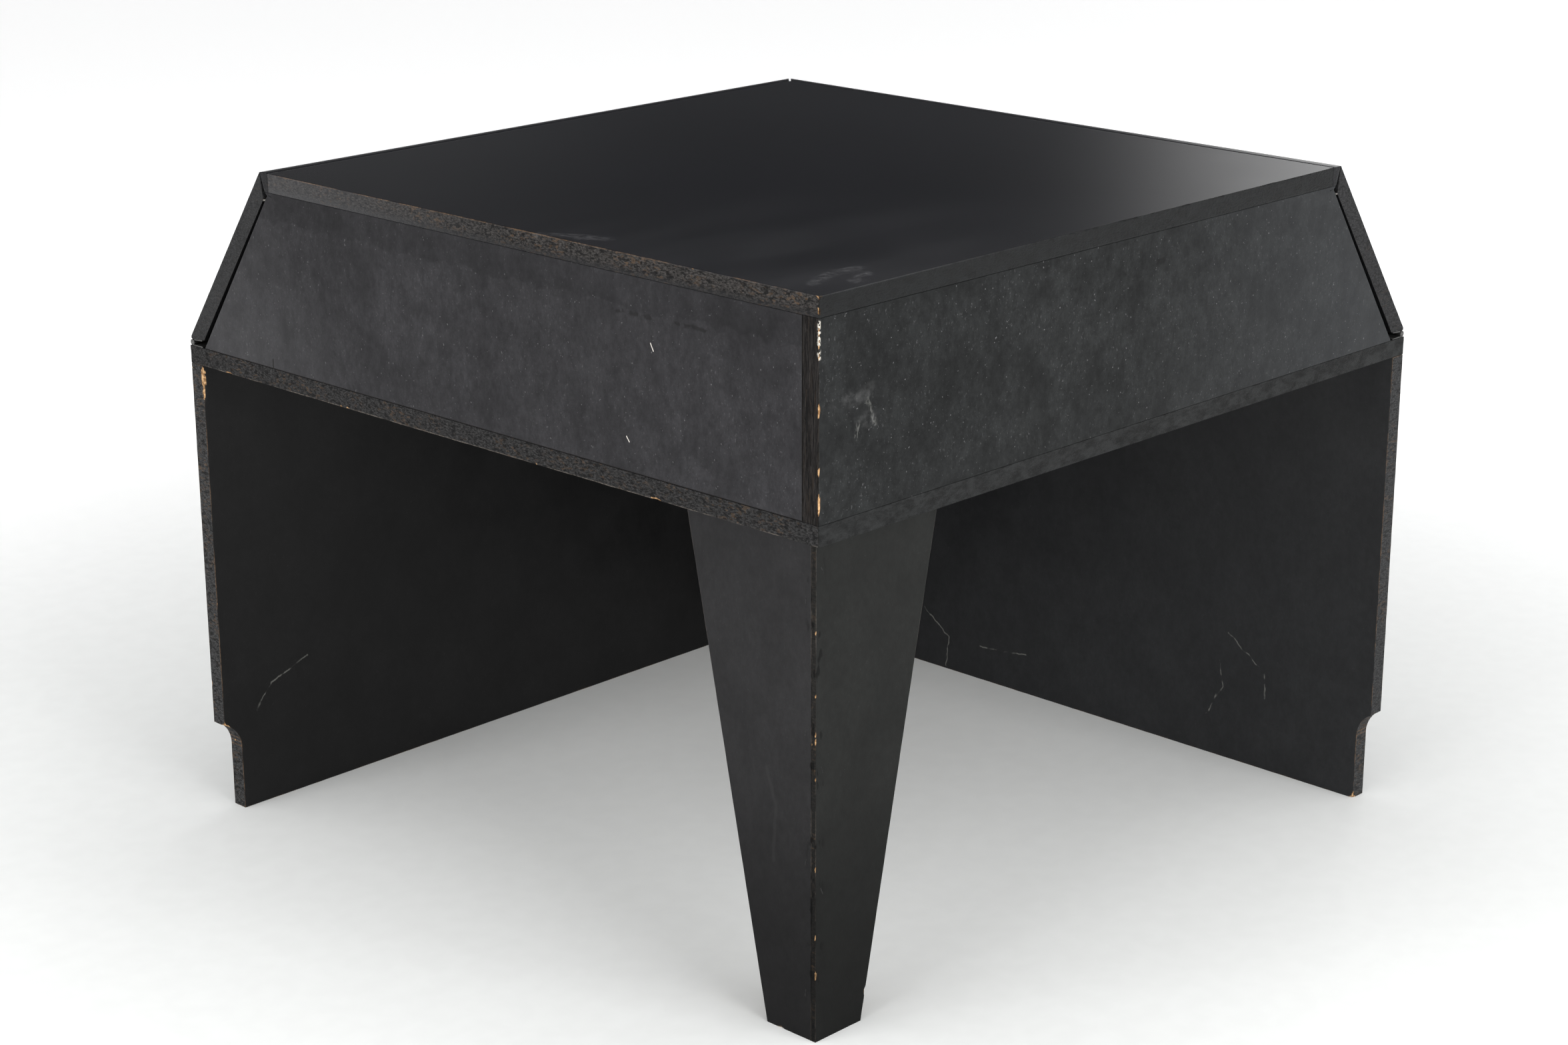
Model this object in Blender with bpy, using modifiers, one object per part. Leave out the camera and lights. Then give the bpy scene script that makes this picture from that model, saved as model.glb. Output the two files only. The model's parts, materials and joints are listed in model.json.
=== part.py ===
"""Corner plinth with two sloping drop flaps, for a stage or an exhibition stand.

Metres, +Z up. The origin is on the floor, under the middle of the square footprint.
The -X -Y corner is the one that goes into the corner of a room: the left wall side is
the plane x = -HALF and the right wall side is y = -HALF. The left flap and the left
side panel are at +Y, the right ones at +X.

Left and right pieces share their functions. Their places are given as run, out and z:
run goes along the side's front edge, and out goes towards its front.
"""

import math

import bmesh
import bpy
from mathutils import Euler, Matrix, Vector

# Overall size
SIDE = 0.900
HEIGHT = 0.726
BASE_TOP = 0.5245
TOP_SIDE = 0.764

# Stock
BOARD = 0.019
BATTEN = 0.028
LEG_POST = 0.044
HIP_POST = 0.045
LEG_SKIN = 0.0055

# Gaps, and the distance within which points are merged
GAP = 0.0003
HIP_GAP = 0.0024
MERGE = 0.00001

# Top lipping: a strip that is bevelled towards the flap
LIPPING_WIDTH = 0.0127
LIPPING_BEVEL = 0.0068
RIDGE_GAP = 0.0003

# Sloping ends of the fascias
FASCIA_SHOULDER = 0.0037
FASCIA_TOP_INSET = 0.0105
FASCIA_FOOT_INSET = 0.0252

# Flap
FLAP_TOP_CUT = math.radians(8)
FLAP_ARRIS = 0.002
ARRIS_STEPS = 4

# Continuous hinge
KNUCKLE_RADIUS = 0.0032
BORE_RADIUS = 0.0013
PIN_RADIUS = 0.0012
LEAF = 0.001
LEAF_WIDTH = 0.0175
LEAF_OPENING = math.radians(5)
HINGE_SIDES = 12
SHARP_ANGLE = math.radians(40)
KNUCKLES = 25
HINGE_START = -0.4495
HINGE_END = 0.4180

# Hinge screws
SCREWS_PER_LEAF = 4
SCREW_MARGIN = 0.050
SCREW_SETBACK = 0.0112
HEAD_RADIUS = 0.0027
HEAD_RIM = 0.00015
HEAD_DEPTH = 0.001
HEAD_SINK = 0.0001
SHANK_RADIUS = 0.0015
SHANK_LENGTH = 0.011
SCREW_LENGTH = 0.013
SCREW_CLEARANCE = 0.00015

# Side panels: the notch clears a skirting board with a rounded top
NOTCH_HEIGHT = 0.102
NOTCH_RADIUS = 0.031
NOTCH_DEPTH = {"left": 0.021, "right": 0.017}
NOTCH_STEPS = 8

# Leg: two thin tapered skins on a post
LEG_INSET = 0.050
LEG_TOP_WIDTH = 0.166
LEG_FOOT_WIDTH = 0.062

# Staples along the leg's corner: height above the floor, and lean in degrees
STAPLES = {
    "left": ((0.430, 6), (0.305, 16), (0.178, 14), (0.047, 8)),
    "right": ((0.460, -30), (0.270, -22), (0.151, -22)),
}
STAPLE_SETBACK = {"left": 0.0125, "right": 0.0080}
STAPLE_CROWN = 0.0074
STAPLE_WIRE = 0.0011
STAPLE_THICKNESS = 0.0007
STAPLE_LENGTH = 0.0100
STAPLE_PROUD = 0.0001

# Battens and posts inside
BATTEN_SETBACK = 0.100
TOP_BATTEN_END = 0.250
CLEAT_END = 0.380
LEG_CLEAT_END = -0.260
CORNER_BATTEN_FOOT = 0.020
HIP_POST_CENTRE = 0.252

# Stop pads between the fascias' sloping ends and the flaps
PAD_TOP = 0.6989
PAD_THICKNESS = 0.0013

# Worked out from the dimensions above
HALF = SIDE / 2
RIDGE = TOP_SIDE - HALF
TOP_UNDERSIDE = HEIGHT - BOARD
BASE_UNDERSIDE = BASE_TOP - BOARD
INNER = HALF - BOARD - GAP
AXIS_OUT = HALF - KNUCKLE_RADIUS - GAP / 3
AXIS_Z = BASE_TOP + GAP + KNUCKLE_RADIUS
LEG_FACE = -HALF + LEG_INSET

SIDES = ("left", "right")

# Outlines are drawn in XY and turned: ACROSS stands them in out and z, ALONG in run and z
FACING_X = Euler((math.pi / 2, 0, math.pi / 2))
FACING_Y = Euler((math.pi / 2, 0, 0))
ACROSS = {"left": FACING_X, "right": FACING_Y}
ALONG = {"left": FACING_Y, "right": FACING_X}

BLACK_FACE = ((0.036, 0.037, 0.041, 1), 0.55, 0.0)
LEG_BLACK = ((0.034, 0.036, 0.037, 1), 0.50, 0.0)
RAW_WOOD = ((0.420, 0.290, 0.170, 1), 0.80, 0.0)
ZINC = ((0.550, 0.550, 0.540, 1), 0.40, 1.0)
STEEL = ((0.300, 0.300, 0.300, 1), 0.45, 1.0)
DARK_STEEL = ((0.020, 0.020, 0.020, 1), 0.60, 1.0)
PALE_PAD = ((0.480, 0.460, 0.400, 1), 0.90, 0.0)


def clear_scene():
    for obj in list(bpy.data.objects):
        bpy.data.objects.remove(obj, do_unlink=True)


def make_collection(name, parent):
    collection = bpy.data.collections.new(name)
    parent.children.link(collection)
    return collection


def place(side, run, out, z):
    """The world place of a point that is given as run, out and z."""
    return Vector((run, out, z)) if side == "left" else Vector((out, run, z))


def finish(obj, look):
    """Gives the object a material of its own, and a look of (colour, roughness, metallic)."""
    colour, roughness, metallic = look
    material = bpy.data.materials.new(obj.name)
    material.use_nodes = True
    shader = material.node_tree.nodes["Principled BSDF"]
    shader.inputs["Base Color"].default_value = colour
    shader.inputs["Roughness"].default_value = roughness
    shader.inputs["Metallic"].default_value = metallic
    obj.data.materials.clear()
    obj.data.materials.append(material)
    return obj


def add_object(name, data, collection, matrix):
    obj = bpy.data.objects.new(name, data)
    collection.objects.link(obj)
    obj.matrix_world = matrix
    return obj


def boxes_mesh(name, boxes):
    """A mesh of (placement, size) boxes."""
    shape = bmesh.new()
    for placement, size in boxes:
        matrix = placement @ Matrix.Diagonal((*size, 1))
        bmesh.ops.create_cube(shape, size=1, matrix=matrix)
    mesh = bpy.data.meshes.new(name)
    shape.to_mesh(mesh)
    shape.free()
    return mesh


def block(name, low, high, look):
    """A box between two corners, with its origin at its centre."""
    low, high = Vector(low), Vector(high)
    mesh = boxes_mesh(name, [(Matrix(), high - low)])
    centre = Matrix.Translation((low + high) / 2)
    return finish(add_object(name, mesh, PARTS, centre), look)


def side_block(name, side, run, out, z, look):
    """A box that is given by its (low, high) pairs along run, out and z."""
    ends = [place(side, run[i], out[i], z[i]) for i in (0, 1)]
    return block(name, *ends, look)


def stood(facing, centre):
    """The placement of a flat piece that is turned from XY and moved to its centre."""
    return Matrix.Translation(centre) @ facing.to_matrix().to_4x4()


def plate(name, outlines, placement, thickness, look):
    """A flat outline, with any holes in it as more outlines, extruded to both sides."""
    data = bpy.data.curves.new(name, "CURVE")
    data.dimensions = "2D"
    data.fill_mode = "BOTH"
    data.extrude = thickness / 2
    for outline in outlines:
        spline = data.splines.new("POLY")
        spline.points.add(len(outline) - 1)
        for point, (across, up) in zip(spline.points, outline):
            point.co = (across, up, 0, 1)
        spline.use_cyclic_u = True
    return finish(add_object(name, data, PARTS, placement), look)


def as_mesh(curve):
    """The same piece as a mesh, which can be cut."""
    bpy.context.view_layer.update()
    evaluated = curve.evaluated_get(bpy.context.evaluated_depsgraph_get())
    mesh = bpy.data.meshes.new_from_object(evaluated)
    welded = bmesh.new()
    welded.from_mesh(mesh)
    bmesh.ops.remove_doubles(welded, verts=welded.verts, dist=MERGE)
    welded.to_mesh(mesh)
    welded.free()
    name = curve.name
    matrix = curve.matrix_world.copy()
    bpy.data.objects.remove(curve, do_unlink=True)
    return add_object(name, mesh, PARTS, matrix)


def turned_mesh(name, profile, collection, matrix):
    """A profile of (radius, height) from top to bottom, turned round its own Z axis."""
    mesh = bpy.data.meshes.new(name)
    points = [(radius, 0, height) for radius, height in profile]
    edges = [(i, i + 1) for i in range(len(points) - 1)]
    mesh.from_pydata(points, edges, [])
    obj = add_object(name, mesh, collection, matrix)
    turn = obj.modifiers.new("turn", "SCREW")
    turn.steps = HINGE_SIDES
    turn.render_steps = HINGE_SIDES
    turn.use_merge_vertices = True
    turn.merge_threshold = MERGE
    turn.use_smooth_shade = True
    return obj


def rod(name, radius, length, placement, look):
    """A round rod along the placement's Z axis."""
    shape = bmesh.new()
    bmesh.ops.create_cone(
        shape,
        cap_ends=True,
        segments=HINGE_SIDES,
        radius1=radius,
        radius2=radius,
        depth=length,
    )
    mesh = bpy.data.meshes.new(name)
    shape.to_mesh(mesh)
    shape.free()
    mesh.shade_smooth()
    mesh.set_sharp_from_angle(angle=SHARP_ANGLE)
    return finish(add_object(name, mesh, PARTS, placement), look)


def hide_cutter(obj):
    obj.hide_render = True
    obj.display_type = "WIRE"
    return obj


def cut(obj, cutter):
    """Takes a cutter, or each cutter of a collection, away from the object."""
    modifier = obj.modifiers.new("cut", "BOOLEAN")
    modifier.operation = "DIFFERENCE"
    modifier.solver = "EXACT"
    if isinstance(cutter, bpy.types.Collection):
        modifier.operand_type = "COLLECTION"
        modifier.collection = cutter
    else:
        modifier.object = cutter


def cutter_boxes(name, boxes):
    """One cutter made of (placement, size) boxes that don't meet."""
    return hide_cutter(add_object(name, boxes_mesh(name, boxes), CUTTERS, Matrix()))


def parent_to(pivot, *pieces):
    bpy.context.view_layer.update()
    for piece in pieces:
        piece.parent = pivot
        piece.matrix_parent_inverse = pivot.matrix_world.inverted()


def arc(centre, radius, first, last, steps):
    """Points on an arc, with its angles in radians."""
    angles = [first + (last - first) * i / steps for i in range(steps + 1)]
    return [
        (centre[0] + radius * math.cos(a), centre[1] + radius * math.sin(a))
        for a in angles
    ]


def rounded_corner(corner, towards_first, towards_last, radius, steps):
    """The arc that rounds a corner between two unit directions that leave it."""
    half = towards_first.angle(towards_last) / 2
    centre = corner + (towards_first + towards_last).normalized() * radius / math.sin(half)
    start = corner + towards_first * radius / math.tan(half) - centre
    end = corner + towards_last * radius / math.tan(half) - centre
    first = math.atan2(start.y, start.x)
    sweep = (math.atan2(end.y, end.x) - first + math.pi) % (2 * math.pi) - math.pi
    return arc(centre, radius, first, first + sweep, steps)


def rotated(point, angle):
    cosine, sine = math.cos(angle), math.sin(angle)
    return (point[0] * cosine - point[1] * sine, point[0] * sine + point[1] * cosine)


# Sloping side: outlines in out and z, measured from the hinge axis


def flap_outline():
    """The flap's section: a lower end that lies on the hinge leaf, and a mitred top."""
    inwards = Vector((-math.cos(LEAF_OPENING), math.sin(LEAF_OPENING)))
    drop = (KNUCKLE_RADIUS + GAP) / math.cos(LEAF_OPENING)
    reach = HALF - AXIS_OUT
    corner = Vector((reach, drop - reach * math.tan(LEAF_OPENING)))
    tip = Vector((RIDGE + RIDGE_GAP - AXIS_OUT, HEIGHT - AXIS_Z))
    up_face = (tip - corner).normalized()
    outwards = Vector((up_face.y, -up_face.x))
    top_cut = Vector((-math.sin(FLAP_TOP_CUT), -math.cos(FLAP_TOP_CUT)))
    inner_top = tip - top_cut * BOARD / top_cut.dot(outwards)
    inner_foot = corner - inwards * BOARD / inwards.dot(outwards)
    arris = rounded_corner(corner, inwards, up_face, FLAP_ARRIS, ARRIS_STEPS)
    return [*arris, tuple(tip), tuple(inner_top), tuple(inner_foot)]


def flap_inner_out(z):
    """How far out the flap's inner face is at a height, both in the frame's terms."""
    top, foot = flap_outline()[-2:]
    share = (z - AXIS_Z - foot[1]) / (top[1] - foot[1])
    return AXIS_OUT + foot[0] + (top[0] - foot[0]) * share


def fascia_end_out(z):
    """How far out the fascia's sloping end is at a height."""
    top_out, top_z = RIDGE - FASCIA_TOP_INSET, TOP_UNDERSIDE - FASCIA_SHOULDER
    foot_out = HALF - FASCIA_FOOT_INSET
    share = (top_z - z) / (top_z - BASE_TOP)
    return top_out + (foot_out - top_out) * share


def leaf_outline():
    """A hinge leaf with its knuckle: the leaf runs inwards, level with the knuckle's foot."""
    inner_face = KNUCKLE_RADIUS - LEAF
    meet = math.pi + math.asin(inner_face / KNUCKLE_RADIUS)
    knuckle = arc((0, 0), KNUCKLE_RADIUS, -math.pi / 2, meet, HINGE_SIDES)
    return [(-LEAF_WIDTH, -KNUCKLE_RADIUS), *knuckle, (-LEAF_WIDTH, -inner_face)]


def bore_outline():
    return arc((0, 0), BORE_RADIUS, 0, 2 * math.pi * (1 - 1 / HINGE_SIDES), HINGE_SIDES - 1)


def notch_outline(depth):
    """The lower corner of a side panel, from the front edge down to the floor, in run and z."""
    centre_run = -HALF + depth - NOTCH_RADIUS
    first = math.acos((-HALF - centre_run) / NOTCH_RADIUS)
    centre_z = NOTCH_HEIGHT - NOTCH_RADIUS * math.sin(first)
    curve = arc((centre_run, centre_z), NOTCH_RADIUS, first, 0, NOTCH_STEPS)
    return [*curve, (-HALF + depth, 0)]


# Boards


def build_top():
    edge = RIDGE - LIPPING_WIDTH - GAP
    block("top_board", (-HALF, -HALF, TOP_UNDERSIDE), (edge, edge, HEIGHT), BLACK_FACE)
    inner = RIDGE - LIPPING_WIDTH
    section = [
        (inner, TOP_UNDERSIDE),
        (RIDGE - LIPPING_BEVEL, TOP_UNDERSIDE),
        (RIDGE, HEIGHT),
        (inner, HEIGHT),
    ]
    for side in SIDES:
        placement = stood(ACROSS[side], place(side, (RIDGE - HALF) / 2, 0, 0))
        name = f"{side}_top_lipping"
        strip = plate(name, [section], placement, RIDGE + HALF, BLACK_FACE)
        cut(as_mesh(strip), HIP_CUTTERS[side])


def build_base():
    base = block(
        "base_board",
        (-HALF, -HALF, BASE_UNDERSIDE),
        (HALF, HALF, BASE_TOP),
        BLACK_FACE,
    )
    for side in SIDES:
        cut(base, SCREW_HOLES[side, "base"])


def build_fascias():
    """The right fascia runs through to the wall corner, and the left one stops behind it."""
    starts = {"left": -INNER, "right": -HALF}
    for side in SIDES:
        outline = [
            (starts[side], BASE_TOP + GAP),
            (fascia_end_out(BASE_TOP + GAP), BASE_TOP + GAP),
            (RIDGE - FASCIA_TOP_INSET, TOP_UNDERSIDE - FASCIA_SHOULDER),
            (RIDGE - LIPPING_BEVEL - 2 * GAP, TOP_UNDERSIDE - GAP),
            (starts[side], TOP_UNDERSIDE - GAP),
        ]
        placement = stood(ACROSS[side], place(side, -HALF + BOARD / 2, 0, 0))
        plate(f"{side}_fascia", [outline], placement, BOARD, BLACK_FACE)


def build_side_panels():
    """The left panel runs through to the front corner, and the right one stops behind it."""
    ends = {"left": HALF, "right": INNER}
    top = BASE_UNDERSIDE - GAP
    for side in SIDES:
        outline = [
            (ends[side], 0),
            (ends[side], top),
            (-HALF, top),
            *notch_outline(NOTCH_DEPTH[side]),
        ]
        placement = stood(ALONG[side], place(side, 0, HALF - BOARD / 2, 0))
        plate(f"{side}_side_panel", [outline], placement, BOARD, BLACK_FACE)


# Flaps and their hinges


def hinge_spot(side, run):
    return place(side, run, AXIS_OUT, AXIS_Z)


def build_pivots():
    for side in SIDES:
        PIVOTS[side] = add_object(
            f"{side}_flap_pivot", None, PARTS, Matrix.Translation(hinge_spot(side, 0))
        )


def build_flaps():
    for side in SIDES:
        placement = stood(ACROSS[side], hinge_spot(side, 0))
        flap = as_mesh(plate(f"{side}_flap", [flap_outline()], placement, SIDE, BLACK_FACE))
        cut(flap, HIP_CUTTERS[side])
        cut(flap, SCREW_HOLES[side, "flap"])
        parent_to(PIVOTS[side], flap)


def knuckle_notches(side, first):
    """Room for the other leaf's knuckles, which are every second one from first."""
    pitch = (HINGE_END - HINGE_START) / KNUCKLES
    reach = 2 * (KNUCKLE_RADIUS + GAP)
    size = place(side, pitch + GAP, reach, reach)
    runs = [HINGE_START + pitch * (k + 0.5) for k in range(first, KNUCKLES, 2)]
    return [(Matrix.Translation(hinge_spot(side, run)), size) for run in runs]


def build_hinges():
    """The flap leaf is the base leaf's mirror image, opened a little, and has the knuckles between."""
    length = HINGE_END - HINGE_START
    middle = (HINGE_START + HINGE_END) / 2
    base_leaf = leaf_outline()
    flap_leaf = [rotated((out, -z), -LEAF_OPENING) for out, z in base_leaf]
    for side in SIDES:
        placement = stood(ACROSS[side], hinge_spot(side, middle))
        for role, outline, first in (("base", base_leaf, 1), ("flap", flap_leaf, 0)):
            name = f"{side}_hinge_{role}_leaf"
            leaf = as_mesh(plate(name, [outline, bore_outline()], placement, length, ZINC))
            cut(leaf, cutter_boxes(f"{name}_notches", knuckle_notches(side, first)))
            cut(leaf, SCREW_HOLES[side, role])
            if role == "flap":
                parent_to(PIVOTS[side], leaf)
        rod(f"{side}_hinge_pin", PIN_RADIUS, length, placement, STEEL)


def screw_poses(side, role):
    """The matrix of each screw of a leaf: its Z axis points out of the head."""
    first, last = HINGE_START + SCREW_MARGIN, HINGE_END - SCREW_MARGIN
    depth = KNUCKLE_RADIUS - LEAF + HEAD_SINK
    head_out, head_z = -SCREW_SETBACK, -depth
    facing = (0, 1)
    if role == "flap":
        head_out, head_z = rotated((-SCREW_SETBACK, depth), -LEAF_OPENING)
        facing = rotated((0, -1), -LEAF_OPENING)
    turn = Vector((0, 0, 1)).rotation_difference(place(side, 0, *facing))
    step = (last - first) / (SCREWS_PER_LEAF - 1)
    for i in range(SCREWS_PER_LEAF):
        head = place(side, first + i * step, AXIS_OUT + head_out, AXIS_Z + head_z)
        yield Matrix.Translation(head) @ turn.to_matrix().to_4x4()


def screw_profile(clearance):
    """A countersunk screw. With a clearance it is the hole, which runs on above the head."""
    profile = [
        (HEAD_RADIUS + clearance, -HEAD_RIM),
        (SHANK_RADIUS + clearance, -HEAD_DEPTH - clearance),
        (SHANK_RADIUS + clearance, -SHANK_LENGTH - clearance),
        (0, -SCREW_LENGTH - clearance),
    ]
    top = HEAD_DEPTH if clearance else 0
    return [(0, top), (HEAD_RADIUS + clearance, top), *profile]


def build_screw_holes():
    for side in SIDES:
        for role in ("base", "flap"):
            holes = make_collection(f"{side}_{role}_screw_holes", CUTTERS)
            for i, pose in enumerate(screw_poses(side, role), 1):
                name = f"{side}_{role}_hole_{i}"
                hide_cutter(turned_mesh(name, screw_profile(SCREW_CLEARANCE), holes, pose))
            SCREW_HOLES[side, role] = holes


def build_screws():
    for side in SIDES:
        for role in ("base", "flap"):
            for i, pose in enumerate(screw_poses(side, role), 1):
                name = f"{side}_hinge_{role}_screw_{i}"
                screw = finish(turned_mesh(name, screw_profile(0), PARTS, pose), STEEL)
                if role == "flap":
                    parent_to(PIVOTS[side], screw)


def build_stop_pads():
    """A thin pad on each fascia end, just under the top, that the closed flap rests against."""
    for side in SIDES:
        foot = PAD_TOP - PAD_THICKNESS
        outline = [
            (fascia_end_out(foot) + GAP, foot),
            (flap_inner_out(foot) - GAP, foot),
            (flap_inner_out(PAD_TOP) - GAP, PAD_TOP),
            (fascia_end_out(PAD_TOP) + GAP, PAD_TOP),
        ]
        placement = stood(ACROSS[side], place(side, -HALF + BOARD / 2, 0, 0))
        plate(f"{side}_stop_pad", [outline], placement, BOARD, PALE_PAD)


# Leg


def staple_poses(side):
    """Each staple's matrix: it is drawn with its crown along Z and its legs along +X."""
    inwards = Matrix.Rotation(math.pi / 2, 4, "Z") if side == "right" else Matrix()
    for z, lean in STAPLES[side]:
        spot = place(side, LEG_FACE, LEG_FACE + STAPLE_SETBACK[side], z)
        yield Matrix.Translation(spot) @ inwards @ Matrix.Rotation(math.radians(lean), 4, "X")


def build_leg_cutters():
    """One slot for each staple, through the skin and into the post."""
    size = (
        2 * (STAPLE_LENGTH + GAP),
        STAPLE_WIRE + 2 * GAP,
        STAPLE_CROWN + 2 * GAP,
    )
    for side in SIDES:
        boxes = [(pose, size) for pose in staple_poses(side)]
        STAPLE_SLOTS[side] = cutter_boxes(f"{side}_staple_slots", boxes)


def build_leg():
    """The right skin runs through to the corner, and the left one stops behind it."""
    top = BASE_UNDERSIDE - GAP
    starts = {"left": LEG_FACE + LEG_SKIN + GAP, "right": LEG_FACE}
    for side in SIDES:
        outline = [
            (starts[side], 0),
            (LEG_FACE + LEG_FOOT_WIDTH, 0),
            (LEG_FACE + LEG_TOP_WIDTH, top),
            (starts[side], top),
        ]
        placement = stood(ACROSS[side], place(side, LEG_FACE + LEG_SKIN / 2, 0, 0))
        name = f"leg_{side}_skin"
        cut(as_mesh(plate(name, [outline], placement, LEG_SKIN, LEG_BLACK)), STAPLE_SLOTS[side])
    low = LEG_FACE + LEG_SKIN + GAP
    post = block("leg_post", (low, low, 0), (low + LEG_POST, low + LEG_POST, top), RAW_WOOD)
    for side in SIDES:
        cut(post, STAPLE_SLOTS[side])
    cleat_start = low + LEG_POST + GAP
    for side in SIDES:
        side_block(
            f"leg_{side}_cleat",
            side,
            (low, low + BATTEN),
            (cleat_start, LEG_CLEAT_END),
            (top - BATTEN, top),
            RAW_WOOD,
        )


def build_staples():
    """Each staple is a flat U: its crown lies on the skin and its legs go into the post."""
    inner = STAPLE_CROWN / 2 - STAPLE_THICKNESS
    outer = STAPLE_CROWN / 2
    face = -STAPLE_PROUD
    outline = [
        (face, -outer),
        (STAPLE_LENGTH, -outer),
        (STAPLE_LENGTH, -inner),
        (face + STAPLE_THICKNESS, -inner),
        (face + STAPLE_THICKNESS, inner),
        (STAPLE_LENGTH, inner),
        (STAPLE_LENGTH, outer),
        (face, outer),
    ]
    for side in SIDES:
        for i, pose in enumerate(staple_poses(side), 1):
            name = f"leg_{side}_staple_{i}"
            placement = pose @ stood(FACING_Y, Vector())
            plate(name, [outline], placement, STAPLE_WIRE, DARK_STEEL)


# Battens and posts inside


def build_battens():
    low = -INNER
    base, top = BASE_TOP + GAP, TOP_UNDERSIDE - GAP
    block("wall_corner_batten", (low, low, base), (low + BATTEN, low + BATTEN, top), RAW_WOOD)
    post_low = HIP_POST_CENTRE - HIP_POST / 2
    post_high = post_low + HIP_POST
    block("hip_post", (post_low, post_low, base), (post_high, post_high, top), RAW_WOOD)
    under = BASE_UNDERSIDE - GAP
    corner = INNER - BATTEN
    block(
        "front_corner_batten",
        (corner, corner, CORNER_BATTEN_FOOT),
        (INNER, INNER, under),
        RAW_WOOD,
    )
    for side in SIDES:
        side_block(
            f"{side}_top_batten",
            side,
            (low, low + BATTEN),
            (low + BATTEN + GAP, TOP_BATTEN_END),
            (top - BATTEN, top),
            RAW_WOOD,
        )
        side_block(
            f"{side}_panel_cleat",
            side,
            (-HALF + BATTEN_SETBACK, CLEAT_END),
            (INNER - BATTEN, INNER),
            (under - BATTEN, under),
            RAW_WOOD,
        )


def build_hip_cutters():
    """A block beyond the vertical plane through both corners, for each side's far end."""
    for side in SIDES:
        beyond = place(side, 1, -1, 0).normalized() * (SIDE - HIP_GAP) / 2
        along = place(side, 1, 1, 0).normalized() * (HALF + RIDGE) / math.sqrt(2)
        centre = beyond + along + Vector((0, 0, HEIGHT))
        placement = Matrix.Translation(centre) @ Matrix.Rotation(math.pi / 4, 4, "Z")
        HIP_CUTTERS[side] = cutter_boxes(f"{side}_hip_cutter", [(placement, (SIDE,) * 3)])


clear_scene()
PARTS = make_collection("corner_plinth", bpy.context.scene.collection)
CUTTERS = make_collection("cutters", bpy.context.scene.collection)
HIP_CUTTERS, SCREW_HOLES, STAPLE_SLOTS, PIVOTS = {}, {}, {}, {}

build_hip_cutters()
build_screw_holes()
build_leg_cutters()
build_pivots()

build_top()
build_base()
build_fascias()
build_side_panels()
build_flaps()
build_hinges()
build_screws()
build_stop_pads()
build_leg()
build_staples()
build_battens()
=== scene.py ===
"""The looks of the corner plinth: worn black paint on chipboard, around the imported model.

Metres, in the part's own frame: +Z up, the corner that goes into a room's corner at -X -Y,
the left flap and side panel at +Y and the right ones at +X.
"""

import json
import math

import bmesh
import bpy
from mathutils import Matrix, Vector, noise


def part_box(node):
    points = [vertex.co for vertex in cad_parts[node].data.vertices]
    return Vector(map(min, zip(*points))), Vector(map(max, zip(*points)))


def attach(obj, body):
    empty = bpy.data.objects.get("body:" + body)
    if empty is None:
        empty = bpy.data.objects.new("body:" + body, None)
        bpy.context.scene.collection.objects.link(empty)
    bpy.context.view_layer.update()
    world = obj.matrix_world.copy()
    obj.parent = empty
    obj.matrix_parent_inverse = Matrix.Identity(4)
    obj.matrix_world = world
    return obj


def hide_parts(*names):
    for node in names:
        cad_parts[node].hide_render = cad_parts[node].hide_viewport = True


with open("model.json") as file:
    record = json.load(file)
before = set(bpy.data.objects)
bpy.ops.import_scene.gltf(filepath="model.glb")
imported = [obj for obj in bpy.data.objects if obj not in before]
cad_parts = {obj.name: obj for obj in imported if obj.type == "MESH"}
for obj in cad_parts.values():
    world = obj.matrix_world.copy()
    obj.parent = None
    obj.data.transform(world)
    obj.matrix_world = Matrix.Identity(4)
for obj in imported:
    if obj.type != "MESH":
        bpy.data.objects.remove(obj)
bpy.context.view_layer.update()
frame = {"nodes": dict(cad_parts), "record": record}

# The camera
CAMERA_PLACE = Vector((-2.2617, -2.1484, 1.3259))
CAMERA_AIM = Vector((0.68681, 0.65941, -0.30573))
CAMERA_ROLL = math.radians(-0.1)
LENS_MM = 70.4
SENSOR_MM = 36.0

# Board meshes: the arris is rounded, and the rings inside it are as far in as RIM says
WELD = 0.00001
FLAT_ANGLE = math.radians(1)
ARRIS = 0.00015
RIM = (0.0045, 0.0022, 0.0009, ARRIS)
STEP = 0.0025
ROW = 0.0019
ROUND_SHARE = 1 - math.sqrt(0.5)
SHARP_ANGLE = math.radians(50)
WORN_WIDTH = 0.0018

# A normal that leans this far makes a side of the board, and a point this near an arris is on it
SIDEWAYS = 0.6
AT_ARRIS = 0.004

# Floor
FLOOR_SIZE = 60.0
FLOOR_GREY = (0.80, 0.81, 0.80, 1)
FLOOR_WHITE = (0.93, 0.93, 0.93, 1)

# Colours of bare wood and filler
WOOD_PALE = (0.46, 0.29, 0.15, 1)
WOOD_DARK = (0.20, 0.11, 0.05, 1)
FLAKE_BROWN = (0.115, 0.070, 0.038, 1)
BARE_BROWN = (0.16, 0.10, 0.058, 1)
BARE_GREY = (0.16, 0.14, 0.12, 1)
FILLER = (0.55, 0.52, 0.46, 1)
NICK_PALE = (0.50, 0.47, 0.43, 1)

# Colours of the marks on the paint
TOP_BLACK = (0.0036, 0.0038, 0.0050, 1)
PIT_BLACK = (0.005, 0.005, 0.005, 1)
JOINT_BLACK = (0.004, 0.0035, 0.003, 1)
DUST = (0.11, 0.11, 0.112, 1)
HAZE = (0.10, 0.10, 0.105, 1)
SCUFF = (0.15, 0.15, 0.155, 1)
RUBBED = (0.16, 0.16, 0.165, 1)
CRACK = (0.12, 0.12, 0.11, 1)

SIDES = ("left", "right")
OUTWARDS = {"left": Vector((0, 1, 0)), "right": Vector((1, 0, 0))}


# Node materials


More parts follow.
